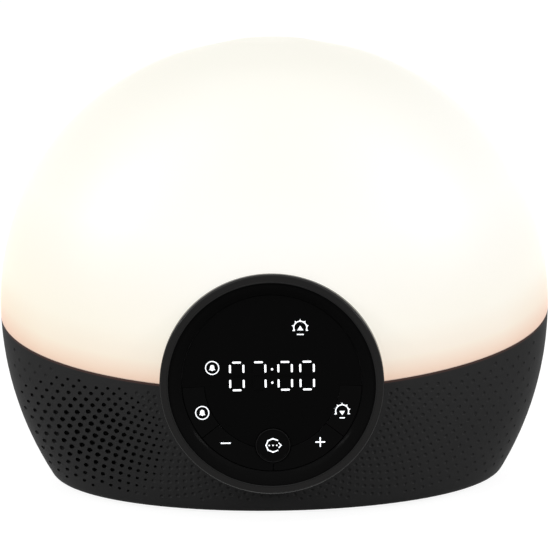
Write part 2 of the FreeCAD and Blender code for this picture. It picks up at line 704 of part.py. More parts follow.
def display_carrier():
    """The inner moulding that guides the keys and holds window, digit module and board."""
    plate = cylinder(CARRIER_R, CARRIER_BACK, WINDOW_BACK)
    rim = tube(CARRIER_R, CARRIER_RIM_IN_R, BOARD_BACK, CARRIER_BACK + 0.5)
    pocket = sector(KEY_POCKET_IN_R, KEY_POCKET_OUT_R, 180.5, 359.5, KEY_POCKET_BACK, WINDOW_BACK)
    cuts = [pocket, cylinder(OPTIONS_R + 1.4, KEY_POCKET_BACK, WINDOW_BACK, 0, OPTIONS_Y)]
    cuts.append(centred_block(MODULE_W + MODULE_GAP, MODULE_H + MODULE_GAP, (-FAR, FAR), 0, DIGIT_Y))
    for x, y in PIPE_PLACES:
        cuts.append(cylinder(PIPE_R + 0.1, -FAR, FAR, x, y))
    for x, y in stem_places():
        cuts.append(cylinder(STEM_HOLE_R, -FAR, FAR, x, y))
    return placed(joined([plate, rim]).cut(cuts), RING_AXES)


def digit_module():
    body_box = centred_block(MODULE_W, MODULE_H, (BOARD_FRONT, WINDOW_BACK - 0.1), 0, DIGIT_Y)
    return placed(body_box, RING_AXES)


def indicator_light_pipes():
    return [placed(cylinder(PIPE_R, PIPE_BACK, WINDOW_BACK, x, y), RING_AXES) for x, y in PIPE_PLACES]


def key_switches():
    switches = []
    for x, y in stem_places():
        case = centred_block(SWITCH_SIDE, SWITCH_SIDE, (BOARD_FRONT, SWITCH_FRONT), x, y)
        case = case.cut(cylinder(SWITCH_HOLE_R, SWITCH_HOLE_END, SWITCH_FRONT, x, y))
        switches.append(placed(case, RING_AXES))
    return switches


def display_board():
    return placed(cylinder(BOARD_R, BOARD_BACK, BOARD_FRONT), RING_AXES)


def reflector_tray():
    """The white floor of the lamp, with a pocket over the back of the display module."""
    inside = body(TRAY_INSET)
    plate = inside.common(seam_slab(TRAY_BOTTOM, TRAY_TOP))
    pocket_shell = placed(cylinder(POCKET_R + POCKET_WALL, POCKET_END - POCKET_WALL, 10.0), RING_AXES)
    pocket_shell = pocket_shell.common(inside).common(seam_slab(TRAY_BOTTOM, FAR))
    tray = plate.fuse(pocket_shell)
    cuts = [placed(cylinder(POCKET_R, POCKET_END, 20.0), RING_AXES)]
    cuts.append(placed(centred_block(SINK_PLATE[0] + 1, SINK_PLATE[1] + 1, (-10, 10)), SEAM_AXES))
    for x, y in TRAY_POSTS + DOME_POSTS:
        cuts.append(placed(cylinder(TRAY_SCREW_HOLE_R, -10.0, 10.0, x, y), SEAM_AXES))
    for x, y in light_board_corners():
        cuts.append(placed(cylinder(TRAY_BOARD_HOLE_R, -10.0, 10.0, x, y), SEAM_AXES))
    cuts.append(placed(cylinder(LAMP_LEAD_R + 0.3, -10.0, 10.0, *LAMP_LEAD), SEAM_AXES))
    rear_clear = REAR_SPLIT_Y - COVER_RIM - COVER_RIM_GAP
    return tray.common(y_slab(-FAR, rear_clear)).cut(cuts)


def tray_screws():
    top = TRAY_TOP + SCREW_M3[1]
    return [placed(bolt(SCREW_M3, top, TRAY_BOTTOM - 8.0, x, y), SEAM_AXES) for x, y in TRAY_POSTS]


def dome_screws():
    screws = []
    for x, y in DOME_POSTS:
        flip = FreeCAD.Placement(V(x, y, TRAY_BOTTOM), FreeCAD.Rotation(X_AXIS, 180))
        screws.append(placed(placed(bolt(SCREW_M3, SCREW_M3[1], -10.0), flip), SEAM_AXES))
    return screws


def light_board_corners():
    inset = 3.0
    x = LIGHT_BOARD[0] / 2 - inset
    y = LIGHT_BOARD[1] / 2 - inset
    return ((-x, -y), (x, -y), (-x, y), (x, y))


def light_board():
    board = centred_block(LIGHT_BOARD[0], LIGHT_BOARD[1], (TRAY_TOP, TRAY_TOP + LIGHT_BOARD[2]))
    holes = [cylinder(M2_CLEAR_R, -10.0, 10.0, x, y) for x, y in light_board_corners()]
    return placed(board.cut(holes), SEAM_AXES)


def light_board_screws():
    top = TRAY_TOP + LIGHT_BOARD[2] + SCREW_M2[1]
    return [placed(bolt(SCREW_M2, top, TRAY_BOTTOM - 2.0, x, y), SEAM_AXES) for x, y in light_board_corners()]


def light_chips(columns, rows, pitch_x, pitch_y):
    low = TRAY_TOP + LIGHT_BOARD[2]
    chips = []
    for column in range(columns):
        for row in range(rows):
            x = (column - (columns - 1) / 2) * pitch_x
            y = (row - (rows - 1) / 2) * pitch_y
            chips.append(placed(centred_block(CHIP_SIDE, CHIP_SIDE, (low, low + CHIP_H), x, y), SEAM_AXES))
    return chips


def heat_sink():
    """Finned block that passes through the tray to the back of the light board."""
    low = TRAY_TOP - SINK_PLATE[2]
    plate = centred_block(SINK_PLATE[0], SINK_PLATE[1], (low, TRAY_TOP))
    pitch = (SINK_PLATE[0] - SINK_FIN_T) / (SINK_FINS - 1)
    fins = []
    for index in range(SINK_FINS):
        x = (index - (SINK_FINS - 1) / 2) * pitch
        fins.append(centred_block(SINK_FIN_T, SINK_PLATE[1], (low - SINK_FIN_H, low), x))
    return placed(joined([plate] + fins), SEAM_AXES)


def speaker_gasket():
    return placed(tube(SPEAKER_R, SPEAKER_OPEN_R, SPEAKER_SEAT - GASKET_T, SPEAKER_SEAT), SPEAKER_AXES)


def speaker_basket():
    """Pressed steel frame: a flat rim, a tapering bowl and a flat back."""
    rim_front = SPEAKER_SEAT - GASKET_T
    rim_back = rim_front - FLANGE_T
    wall = 0.8
    back_hole_r = 5.0
    mouth_r = SPEAKER_OPEN_R - 0.6
    outline = [
        (SPEAKER_R, rim_front), (SPEAKER_R, rim_back), (mouth_r, rim_back),
        (MAGNET_R + 1.0, BASKET_BACK), (back_hole_r, BASKET_BACK), (back_hole_r, BASKET_BACK + wall),
        (MAGNET_R + 0.4, BASKET_BACK + wall), (mouth_r - wall, rim_back + 0.2), (mouth_r - wall, rim_front),
    ]
    return placed(revolved(outline), SPEAKER_AXES)


def speaker_surround():
    """The rubber half roll between rim and cone."""
    seat = SPEAKER_SEAT - GASKET_T
    arcs = []
    for roll_r in (ROLL_R, ROLL_R - ROLL_T):
        arcs.append(Part.Arc(V(ROLL_MID_R + roll_r, 0, seat), V(ROLL_MID_R, 0, seat + roll_r),
                             V(ROLL_MID_R - roll_r, 0, seat)).toShape())
    ends = []
    for side in (-1, 1):
        start = V(ROLL_MID_R + side * ROLL_R, 0, seat)
        end = V(ROLL_MID_R + side * (ROLL_R - ROLL_T), 0, seat)
        ends.append(Part.LineSegment(start, end).toShape())
    roll = Part.Face(Part.Wire([arcs[0], ends[0], arcs[1], ends[1]])).revolve(V(), Z_AXIS, 360)
    return placed(roll, SPEAKER_AXES)


def speaker_cone():
    front = SPEAKER_SEAT - GASKET_T - 0.05
    edge_r = ROLL_MID_R - 1.8
    thick = 0.6
    outline = [(edge_r, front), (edge_r - thick, front), (DUST_CAP_R + 0.1, front - CONE_DEPTH),
               (DUST_CAP_R + 0.1, front - CONE_DEPTH - thick), (DUST_CAP_R + 0.5, front - CONE_DEPTH - thick)]
    return placed(revolved(outline), SPEAKER_AXES)


def speaker_dust_cap():
    front = SPEAKER_SEAT - GASKET_T - CONE_DEPTH + 0.1
    centre = V(0, 0, front - 6.6)
    ball = Part.makeSphere(DUST_BALL_R, centre).cut(Part.makeSphere(DUST_BALL_R - 0.5, centre))
    return placed(ball.common(cylinder(DUST_CAP_R, front, front + 5.0)), SPEAKER_AXES)


def speaker_magnet():
    return placed(cylinder(MAGNET_R, BASKET_BACK - MAGNET_T, BASKET_BACK), SPEAKER_AXES)


def speaker_screws():
    back = SPEAKER_SEAT - GASKET_T - FLANGE_T
    flip = FreeCAD.Placement(V(0, 0, back), FreeCAD.Rotation(Y_AXIS, 180))
    screws = []
    for x, y in SPEAKER_SCREWS:
        screw = placed(bolt(SPEAKER_SCREW, SPEAKER_SCREW[1], 0.2 - SPEAKER_LUG_HOLE, -x, y), flip)
        screws.append(placed(screw, SPEAKER_AXES))
    return screws


def grille_cloth():
    """Thin cloth on the inside of the wall, inside the speaker's seat."""
    layer = INNER.cut(body(WALL + 0.4))
    return layer.common(placed(cylinder(SPEAKER_OPEN_R - 0.2, SPEAKER_SEAT + 0.5, 20.0), SPEAKER_AXES))


def main_board():
    board = block(BOARD_X, BOARD_Y, (BOARD_Z, BOARD_Z + BOARD_T))
    return board.cut([cylinder(M2_CLEAR_R, 0.0, 20.0, x, y) for x, y in BOARD_HOLES])


def main_board_screws():
    top = BOARD_Z + BOARD_T + SCREW_M2[1]
    return [bolt(SCREW_M2, top, BOARD_Z - 3.5, x, y) for x, y in BOARD_HOLES]


def on_board(width, depth, height, x, y):
    low = BOARD_Z + BOARD_T
    return centred_block(width, depth, (low, low + height), x, y)


def main_board_chips():
    return [on_board(10.0, 10.0, 1.2, 4.0, 20.0), on_board(5.0, 6.0, 1.5, -12.0, 16.0),
            on_board(6.5, 6.5, 2.3, 22.0, 34.0), on_board(5.0, 6.0, 1.5, 26.0, 16.0)]


def main_board_capacitors():
    low = BOARD_Z + BOARD_T
    return [cylinder(4.0, low, low + 11.5, x, y) for x, y in ((-2.0, 40.0), (8.0, 40.0))] + [
        cylinder(2.5, low, low + 7.0, -24.0, 30.0)]


def main_board_inductor():
    return on_board(10.0, 10.0, 5.0, 24.0, 45.0)


def main_board_connectors():
    return [on_board(18.0, 4.0, 3.0, 4.0, 5.0), on_board(6.0, 5.0, 6.0, -29.0, 18.0),
            on_board(8.0, 5.0, 6.0, 35.0, 25.0)]


def dc_jack():
    low = BOARD_Z + BOARD_T
    case = block((JACK_X - JACK_W / 2, JACK_X + JACK_W / 2), (JACK_FRONT_Y, JACK_BACK_Y), (low, low + JACK_H))
    bore = Part.makeCylinder(JACK_BORE_R, JACK_BORE_DEPTH,
                             V(JACK_X, JACK_BACK_Y - JACK_BORE_DEPTH, low + JACK_H / 2), Y_AXIS)
    return case.cut(bore)


def dc_jack_pin():
    start = JACK_BACK_Y - JACK_BORE_DEPTH
    return Part.makeCylinder(JACK_PIN_R, JACK_BORE_DEPTH - 1.0,
                             V(JACK_X, start, BOARD_Z + BOARD_T + JACK_H / 2), Y_AXIS)


def wire_run(points, radius, bend):
    """A round lead through points, with an arc at each inner point."""
    edges = []
    last = points[0]
    for before, corner, after in zip(points, points[1:], points[2:]):
        into = (corner - before).normalize()
        out = (after - corner).normalize()
        half_turn = into.getAngle(out) / 2
        trim = bend * math.tan(half_turn)
        start = corner - into * trim
        end = corner + out * trim
        inward = (out - into).normalize()
        centre = corner + inward * (bend / math.cos(half_turn))
        middle = centre - inward * bend
        edges.append(Part.LineSegment(last, start).toShape())
        edges.append(Part.Arc(start, middle, end).toShape())
        last = end
    edges.append(Part.LineSegment(last, points[-1]).toShape())
    path = Part.Wire(edges)
    circle = Part.Wire(Part.Circle(points[0], points[1] - points[0], radius).toShape())
    return path.makePipeShell([circle], True, False)


def speaker_lead():
    plug_top = BOARD_Z + BOARD_T + 6.0
    start = SPEAKER_AXES.multVec(V(0, 10.0, BASKET_BACK - MAGNET_T))
    inward = SPEAKER_AXES.Rotation.multVec(V(0, 0, -1))
    end = V(-29.0, 18.0, plug_top)
    return wire_run([start, start + inward * 10.0, end + V(0, 0, 16.0), end], 1.2, 5.0)


def lamp_lead():
    plug_top = BOARD_Z + BOARD_T + 6.0
    start = SEAM_AXES.multVec(V(*LAMP_LEAD, TRAY_TOP))
    below = SEAM_AXES.multVec(V(*LAMP_LEAD, TRAY_BOTTOM - 14.0))
    end = V(35.0, 25.0, plug_top)
    return wire_run([start, below, end + V(0, 0, 14.0), end], LAMP_LEAD_R, 5.0)


def display_ribbon():
    """Flat ribbon from the back of the display board down to the main board."""
    thick = 0.4
    width = 16.0
    start = RING_AXES.multVec(V(0, -10.0, BOARD_BACK))
    out = start + V(0, 14.0, 0)
    low = V(0, -4.0, BOARD_Z + BOARD_T + 1.5)
    end = V(0, 3.0, BOARD_Z + BOARD_T + 1.5)
    upper = [start, out, low, end]
    lower = [point + V(0, 0, -thick) for point in reversed(upper)]
    strip = Part.Face(Part.makePolygon(upper + lower + upper[:1])).extrude(V(width, 0, 0))
    strip.translate(V(4.0 - width / 2, 0, 0))
    return strip


NODES = {
    "diffuser_dome": diffuser_dome,
    "base_shell": base_shell,
    "rear_cover": rear_cover,
    "rear_cover_screws": rear_cover_screws,
    "rubber_feet": rubber_feet,
    "display_collar": display_collar,
    "clamp_ring": clamp_ring,
    "clamp_screws": clamp_screws,
    "fascia_ring": fascia_ring,
    "display_window": display_window,
    "display_carrier": display_carrier,
    "digit_segments_lit": lambda: [placed(bar, RING_AXES) for bar in
                                   segments(True, WINDOW_BACK, WINDOW_FRONT + SEGMENT_PROUD)],
    "digit_segments_unlit": lambda: [placed(bar, RING_AXES) for bar in
                                     segments(False, WINDOW_BACK, WINDOW_FRONT - SEGMENT_PROUD)],
    "digit_module": digit_module,
    "indicator_light_pipes": indicator_light_pipes,
    "key_switches": key_switches,
    "display_board": display_board,
    "alarm_key": lambda: key("alarm_key"),
    "minus_key": lambda: key("minus_key"),
    "plus_key": lambda: key("plus_key"),
    "light_key": lambda: key("light_key"),
    "options_button": options_button,
    "reflector_tray": reflector_tray,
    "tray_screws": tray_screws,
    "dome_screws": dome_screws,
    "light_board": light_board,
    "light_board_screws": light_board_screws,
    "white_light_chips": lambda: light_chips(8, 4, 10.4, 11.0),
    "amber_light_chips": lambda: light_chips(7, 3, 10.4, 11.0),
    "heat_sink": heat_sink,
    "speaker_gasket": speaker_gasket,
    "speaker_basket": speaker_basket,
    "speaker_surround": speaker_surround,
    "speaker_cone": speaker_cone,
    "speaker_dust_cap": speaker_dust_cap,
    "speaker_magnet": speaker_magnet,
    "speaker_screws": speaker_screws,
    "grille_cloth": grille_cloth,
    "main_board": main_board,
    "main_board_screws": main_board_screws,
    "main_board_chips": main_board_chips,
    "main_board_capacitors": main_board_capacitors,
    "main_board_inductor": main_board_inductor,
    "main_board_connectors": main_board_connectors,
    "dc_jack": dc_jack,
    "dc_jack_pin": dc_jack_pin,
    "speaker_lead": speaker_lead,
    "lamp_lead": lamp_lead,
    "display_ribbon": display_ribbon,
}

os.makedirs("parts", exist_ok=True)
whole = FreeCAD.BoundBox()
for node, make in NODES.items():
    made = make()
    shape = Part.makeCompound(made) if isinstance(made, list) else made
    shape.exportStep("parts/" + node + ".step")
    whole.add(shape.BoundBox)
    state = "valid" if shape.isValid() else "INVALID"
    print(node, len(shape.Solids), "solids", round(shape.Volume, 1), "mm3", state, flush=True)
low = [round(value, 2) for value in (whole.XMin, whole.YMin, whole.ZMin)]
high = [round(value, 2) for value in (whole.XMax, whole.YMax, whole.ZMax)]
print("box from", low, "to", high)
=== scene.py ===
# %% [markdown]
# # A sunrise lamp with a clock, dressed in Blender
#
# The solid parts of this lamp are already made and packed: a lit dome, a charcoal base, a round
# display and everything inside. This notebook loads them as a fixed frame and gives them their
# looks: finishes, printed signs, light and a camera. No solid is moved or reshaped here.
#
# Lengths are in metres, because Blender works in metres. Sizes that a maker would give in
# millimetres are written as millimetres times MM. Only the heights of the glow and what is drawn
# on the display are plain millimetres, which the helpers scale.

# %% Load the frame
import json
import math

import bmesh
import bpy
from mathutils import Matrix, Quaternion, Vector
from mathutils.bvhtree import BVHTree


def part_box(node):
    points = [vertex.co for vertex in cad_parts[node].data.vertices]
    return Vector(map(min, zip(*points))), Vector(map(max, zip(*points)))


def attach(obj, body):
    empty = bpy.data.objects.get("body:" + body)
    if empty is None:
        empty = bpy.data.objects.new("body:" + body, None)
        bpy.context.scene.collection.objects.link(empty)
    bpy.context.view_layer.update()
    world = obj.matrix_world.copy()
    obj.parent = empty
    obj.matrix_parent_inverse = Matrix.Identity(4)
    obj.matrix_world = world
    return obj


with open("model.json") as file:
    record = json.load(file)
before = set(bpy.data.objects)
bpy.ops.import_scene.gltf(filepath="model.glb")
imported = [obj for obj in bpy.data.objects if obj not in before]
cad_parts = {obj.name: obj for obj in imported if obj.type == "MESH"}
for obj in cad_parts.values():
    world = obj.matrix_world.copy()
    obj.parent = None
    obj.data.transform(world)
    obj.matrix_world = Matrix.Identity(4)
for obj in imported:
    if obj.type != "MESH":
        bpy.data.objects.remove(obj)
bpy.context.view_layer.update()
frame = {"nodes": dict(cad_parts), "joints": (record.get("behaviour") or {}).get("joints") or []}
nodes = frame["nodes"]
scene = bpy.context.scene
MM = 0.001

# %% [markdown]
# ## The camera
#
# The photograph was taken with a long lens from a little above, nearly straight ahead, and the
# picture is turned by about one degree. A long lens far away keeps the outline nearly flat, as it
# is in the photograph. The camera could be placed by eye, but three angles, a distance and a lens
# can be fitted one after the other. It looks at a point in the lamp's middle, and the turn is
# added round the line of sight.

# %% Camera
CAMERA_HEIGHT = math.radians(14.0)
CAMERA_YAW = math.radians(1.2)
CAMERA_ROLL = math.radians(1.09)
CAMERA_DISTANCE = 1.2
LOOK_AT = Vector((0.78, 0.0, 84.0)) * MM
FOCAL_PIXELS = 3066.0
PHOTO_PIXELS = 550.0
SENSOR_WIDTH = 36.0

towards_camera = Vector((
    math.sin(CAMERA_YAW) * math.cos(CAMERA_HEIGHT),
    -math.cos(CAMERA_YAW) * math.cos(CAMERA_HEIGHT),
    math.sin(CAMERA_HEIGHT),
))
camera_data = bpy.data.cameras.new("camera")
camera_data.sensor_width = SENSOR_WIDTH
camera_data.lens = SENSOR_WIDTH * FOCAL_PIXELS / PHOTO_PIXELS
camera = bpy.data.objects.new("camera", camera_data)
camera.location = LOOK_AT + towards_camera * CAMERA_DISTANCE
roll = Quaternion((0, 0, 1), -CAMERA_ROLL)
camera.rotation_euler = (towards_camera.to_track_quat("Z", "Y") @ roll).to_euler()
scene.collection.objects.link(camera)
scene.camera = camera
scene.view_settings.view_transform = "Standard"
print("lens in mm:", round(camera_data.lens, 1))

# %% [markdown]
# ## Smooth shading
#
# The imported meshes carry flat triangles. Shading them smooth by angle keeps the real edges crisp
# and makes the round forms look round. It changes how light is reckoned and moves no point.

# %% Shade the curved solids
SHARP_ANGLE = math.radians(30.0)


def shade_round(thing):
    thing.data.shade_smooth()
    thing.data.set_sharp_from_angle(angle=SHARP_ANGLE)


for part in nodes.values():
    shade_round(part)
print("shaded", len(nodes), "solids")

# %% [markdown]
# ## Nodes for a finish
#
# A finish is a small network of shader nodes. It could be drawn in the shader editor. Written out,
# each node and each wire can be read and changed, so two helpers do only that: one adds a node
# with its settings, and one joins two sockets.

# %% Helpers that add and join nodes
def add_node(owner, kind, **settings):
    """A new node of a material or of the world, with its inputs or its own settings filled in."""
    node = owner.node_tree.nodes.new(kind)
    for name, value in settings.items():
        if name in node.inputs:
            node.inputs[name].default_value = value
        else:
            setattr(node, name, value)
    return node


def wire(owner, source, target):
    owner.node_tree.links.new(source, target)


print("nodes are made by", add_node.__name__, "and joined by", wire.__name__)

# %% [markdown]
# Plastic, rubber and metal all start the same way here: one Principled shader with a colour, a
# roughness and a few more values. Its sockets keep plain values where a plain value is enough,
# because such a finish is easy to read and to carry to other programs.

# %% Helper for a plain finish
def plain_finish(name, colour, roughness, **sockets):
    """A material and its shader. More sockets are given by name, with _ in place of a space."""
    material = bpy.data.materials.new(name)
    material.use_nodes = True
    shader = material.node_tree.nodes["Principled BSDF"]
    shader.inputs["Base Color"].default_value = (*colour, 1.0)
    shader.inputs["Roughness"].default_value = roughness
    for socket, value in sockets.items():
        shader.inputs[socket.replace("_", " ")].default_value = value
    material.diffuse_color = (*colour, 1.0)
    return material, shader


print("a plain finish is made by", plain_finish.__name__)

# %% [markdown]
# No moulded surface is quite even from close by. Noise that is fixed to the object gives it grain,
# and a bump turns the grain into relief. A picture of such a surface would show its pixels in a
# close view. Noise has none, so it is used for every grain here.

# %% Helpers for grain
def object_place(material):
    """The place on the object in metres. It stays with the object when the object moves."""
    return add_node(material, "ShaderNodeTexCoord").outputs["Object"]


def noise(material, grain, detail=2.0):
    """Noise whose grains are about that many metres across."""
    texture = add_node(material, "ShaderNodeTexNoise", Scale=1.0 / grain, Detail=detail)
    wire(material, object_place(material), texture.inputs["Vector"])
    return texture.outputs["Fac"]


def relief(material, shader, height, depth):
    """A bump of the given depth in metres."""
    bump = add_node(material, "ShaderNodeBump", Distance=depth)
    wire(material, height, bump.inputs["Height"])
    wire(material, bump.outputs["Normal"], shader.inputs["Normal"])


print("grain is made by", noise.__name__, "and", relief.__name__)

# %% [markdown]
# ## The lit dome
#
# The dome is milky plastic with lamps inside. In the middle the light comes straight through and
# the wall is nearly white. Towards the seam amber lamps light the wall at a low angle, so it turns
# cream and then peach, and in the seam itself no light comes out. A real translucent shell would
# need a slow, noisy light path, so the glow is written as emission that depends on the place on
# the shell.
#
# The first thing needed is a table of colours: what the wall glows like at each height over the
# sloping seam. Two tints finish it. The left side is a little warmer. Both ends next to the seam
# get painted shade: a darker, more peach glow where the wall turns away towards the outline.

# %% Colours of the glow, by height over the seam in millimetres
GLOW = (
    (0.30, (0.030, 0.010, 0.006)),
    (0.55, (0.86, 0.52, 0.33)),
    (4.0, (0.94, 0.68, 0.49)),
    (9.0, (0.98, 0.845, 0.68)),
    (20.0, (1.00, 0.95, 0.82)),
    (55.0, (0.95, 0.94, 0.905)),
    (84.0, (0.83, 0.815, 0.745)),
    (104.0, (0.71, 0.69, 0.59)),
)
GLOW_TOP = 110.0
WARM_SIDE = (1.0, 0.97, 0.88)
WARM_FROM_X = -20 * MM
WARM_FULL_X = -100 * MM
# Painted shade: this tint darkens both ends of the dome next to the seam and makes them more peach.
END_SHADE_TINT = (0.88, 0.74, 0.64)
END_SHADE_FROM_X = 88 * MM
END_SHADE_FULL_X = 107 * MM
END_SHADE_REACH = 24 * MM
print("glow changes at", [height for height, colour in GLOW], "mm over the seam")

# %% [markdown]
# The seam lies in a plane that rises towards the back. The height over it is the distance from
# that plane, which a dot product with the plane's normal gives. A second helper maps any stretch
# of such a value to the stretch from nought to one.

# %% Helpers that measure a place on the shell
SEAM_SLOPE = math.radians(13.7)
SEAM_POINT = Vector((0.0, 9.0, 68.6)) * MM
seam_normal = Vector((0.0, -math.sin(SEAM_SLOPE), math.cos(SEAM_SLOPE)))


def height_over_seam(material):
    """Metres over the plane of the seam."""
    plane = add_node(material, "ShaderNodeVectorMath", operation="DOT_PRODUCT")
    plane.inputs[1].default_value = seam_normal
    wire(material, object_place(material), plane.inputs[0])
    height = add_node(material, "ShaderNodeMath", operation="SUBTRACT")
    height.inputs[1].default_value = SEAM_POINT.dot(seam_normal)
    wire(material, plane.outputs["Value"], height.inputs[0])
    return height.outputs["Value"]


def sideways_place(material):
    """Metres to the right of the lamp's middle."""
    split = add_node(material, "ShaderNodeSeparateXYZ")
    wire(material, object_place(material), split.inputs[0])
    return split.outputs["X"]


def share_between(material, value, low, high):
    """0 where the value is low, 1 where it is high, and a clamped share between."""
    mapper = add_node(material, "ShaderNodeMapRange")
    mapper.inputs["From Min"].default_value = low
    mapper.inputs["From Max"].default_value = high
    wire(material, value, mapper.inputs["Value"])
    return mapper.outputs["Result"]


print("the seam rises by", round(math.degrees(SEAM_SLOPE), 1), "degrees towards the back")

# %% [markdown]
# A colour ramp turns the height into the colour of the glow. A tint multiplies that colour where
# its factor is one. Two factors that are multiplied keep a tint to where both are one. Here that
# is the painted shade in the corner between an end of the dome and the seam.

# %% Helpers for the glow
def glow_ramp(material, height):
    """Colour of the glow from a height in metres over the seam plane."""
    ramp = add_node(material, "ShaderNodeValToRGB")
    stops = ramp.color_ramp.elements
    while len(stops) < len(GLOW):
        stops.new(0.5)
    for stop, (level, colour) in zip(stops, GLOW):
        stop.position = level / GLOW_TOP
        stop.color = (*colour, 1.0)
    wire(material, share_between(material, height, 0.0, GLOW_TOP * MM), ramp.inputs["Fac"])
    return ramp.outputs["Color"]


def tinted(material, colour, factor, tint_colour):
    """Multiplies a colour by a tint where the factor is one."""
    tint = add_node(material, "ShaderNodeMix", data_type="RGBA", blend_type="MULTIPLY")
    wire(material, factor, tint.inputs["Factor"])
    wire(material, colour, tint.inputs["A"])
    tint.inputs["B"].default_value = (*tint_colour, 1.0)
    return tint.outputs["Result"]


def combined(owner, operation, first, second):
    """One number from two, by an operation such as MULTIPLY or MAXIMUM."""
    result = add_node(owner, "ShaderNodeMath", operation=operation)
    wire(owner, first, result.inputs[0])
    wire(owner, second, result.inputs[1])
    return result.outputs["Value"]


print("the ramp has", len(GLOW), "stops over", GLOW_TOP, "mm")

# %% [markdown]
# A finish is put on a solid by taking the place of the plain material that the solid came with.
# The dome is the first to get one. Under its glow it is a pale, slightly rough plastic, which
# takes the light of the room as the real shell does.

# %% Finish of the dome
def dress(material, *names):
    """Puts a finish on solids of the frame."""
    for name in names:
        slots = nodes[name].data.materials
        slots.clear()
        slots.append(material)
    print(material.name, "on", ", ".join(names))


def dome_finish():
    material, shader = plain_finish("milky_dome", colour=(0.46, 0.455, 0.44), roughness=0.42,
                                    Emission_Strength=0.635)
    height = height_over_seam(material)
    sideways = sideways_place(material)
    leftness = share_between(material, sideways, WARM_FROM_X, WARM_FULL_X)
    glow = tinted(material, glow_ramp(material, height), leftness, WARM_SIDE)
    # Painted shade: a darker, more peach glow at both ends of the dome, next to the seam.
    off_middle = add_node(material, "ShaderNodeMath", operation="ABSOLUTE")
    wire(material, sideways, off_middle.inputs[0])
    at_end = share_between(material, off_middle.outputs["Value"], END_SHADE_FROM_X, END_SHADE_FULL_X)
    near_seam = share_between(material, height, END_SHADE_REACH, 0.0)
    painted_end_shade = combined(material, "MULTIPLY", at_end, near_seam)
    glow = tinted(material, glow, painted_end_shade, END_SHADE_TINT)
    wire(material, glow, shader.inputs["Emission Color"])
    relief(material, shader, noise(material, grain=0.35 * MM, detail=3.0), depth=0.012 * MM)
    return material


dress(dome_finish(), "diffuser_dome")

# %% [markdown]
# ## Charcoal plastic
#
# The base is moulded in charcoal ABS from a mould with a spark-eroded face. That gives a fine even
# grain with no gloss. Two sizes of noise do it: grains under half a millimetre for the texture,
# and wide, weak clouds for the slight change of tone that a matt moulding always has. The level of
# its mirror shine is near nothing, because even a weak one would show the bright floor in the
# lower flanks.

# %% Finish of the rear cover
CHARCOAL = (0.035, 0.035, 0.0353)
CHARCOAL_LIGHT = (0.040, 0.040, 0.0403)
CLOUD_SIZE = 25 * MM


def varied(material, factor, low, high, socket):
    """Drives a colour socket between two colours."""
    mix = add_node(material, "ShaderNodeMix", data_type="RGBA")
    mix.inputs["A"].default_value = (*low, 1.0)
    mix.inputs["B"].default_value = (*high, 1.0)
    wire(material, factor, mix.inputs["Factor"])
    wire(material, mix.outputs["Result"], socket)


def grained_plastic(name, dark, light, roughness, grain, depth, level=0.5):
    """Plastic in clouds of two tones, with a grain of a size and a depth in metres."""
    material, shader = plain_finish(name, dark, roughness, Specular_IOR_Level=level)
    varied(material, noise(material, CLOUD_SIZE), dark, light, shader.inputs["Base Color"])
    relief(material, shader, noise(material, grain, detail=3.0), depth)
    return material


base_material = grained_plastic("charcoal_plastic", CHARCOAL, CHARCOAL_LIGHT, roughness=0.55,
                                grain=0.45 * MM, depth=0.05 * MM, level=0.025)
dress(base_material, "rear_cover")

# %% [markdown]
# The dome's wall reaches a little way down behind the base's upper edge, and some amber light seeps
# through there. A second strip of plastic would be a piece that the lamp doesn't have. So the front
# shell has the same charcoal, with a thin brown glow painted on just under the seam.

# %% Finish of the base shell
# Painted light: the charcoal itself glows brown in a thin strip just under the seam.
SEEP = (0.034, 0.012, 0.008)
SEEP_DEPTH = 0.75 * MM
edge_material = base_material.copy()
edge_material.name = "charcoal_with_painted_glow"
edge_shader = edge_material.node_tree.nodes["Principled BSDF"]
edge_shader.inputs["Emission Color"].default_value = (*SEEP, 1.0)
edge_height = height_over_seam(edge_material)
painted_glow_share = share_between(edge_material, edge_height, -SEEP_DEPTH, -SEEP_DEPTH / 2)
wire(edge_material, painted_glow_share, edge_shader.inputs["Emission Strength"])
dress(edge_material, "base_shell")

# %% [markdown]
# ## The display's lip, bowl and window
#
# Three blacks meet here. The lip is satin, the bowl behind it is polished, and the window is a
# flat gloss sheet that light guides shine through. Their colours hardly differ. What differs is
# the roughness and how much each one mirrors. The lip takes the lamps as a wide, soft sheen. The
# bowl, the window and the keys keep a very low mirror level, so that the white room doesn't show
# in them and they stay nearly black.

# %% Finish of the lip
lip_material = grained_plastic("satin_black", (0.0052, 0.0049, 0.0047), (0.0062, 0.0058, 0.0056),
                               roughness=0.24, grain=0.6 * MM, depth=0.004 * MM, level=0.15)
dress(lip_material, "display_collar")

# %% [markdown]
# Injection-moulded gloss always has a trace of orange peel: swells a few millimetres wide and a
# few thousandths high. They break the edge of a reflection a little, and a surface without them
# looks like glass.

# %% Finishes of the bowl, the window and the keys
PEEL_SIZE = 6 * MM
PEEL_DEPTH = 0.004 * MM


def polished_black(name, grey, roughness, level):
    """Gloss plastic of one grey, with a trace of orange peel."""
    material, shader = plain_finish(name, (grey, grey, grey), roughness, Specular_IOR_Level=level)
    relief(material, shader, noise(material, PEEL_SIZE, detail=1.0), PEEL_DEPTH)
    return material


dress(polished_black("polished_black", grey=0.0050, roughness=0.16, level=0.004), "fascia_ring")
dress(polished_black("gloss_window", grey=0.0020, roughness=0.08, level=0.018), "display_window")
dress(polished_black("gloss_keys", grey=0.0014, roughness=0.10, level=0.03),
      "alarm_key", "minus_key", "plus_key", "light_key", "options_button")

# %% [markdown]
# ## Lit figures
#
# Each bar of the figures is the tip of a clear light guide that sits flush in the window. The lit
# ones glow evenly, so they are emission, a little under full white and very slightly mottled. Lamps
# behind clear guides would be truer, but the light on the front would look the same. The bars that
# are off are smoked plastic, nearly as black as the window round them.

# %% Finish of the light guides
GUIDE_ROUGHNESS = 0.35
MOTTLE_SIZE = 0.8 * MM
MOTTLE_SHADE = 0.94


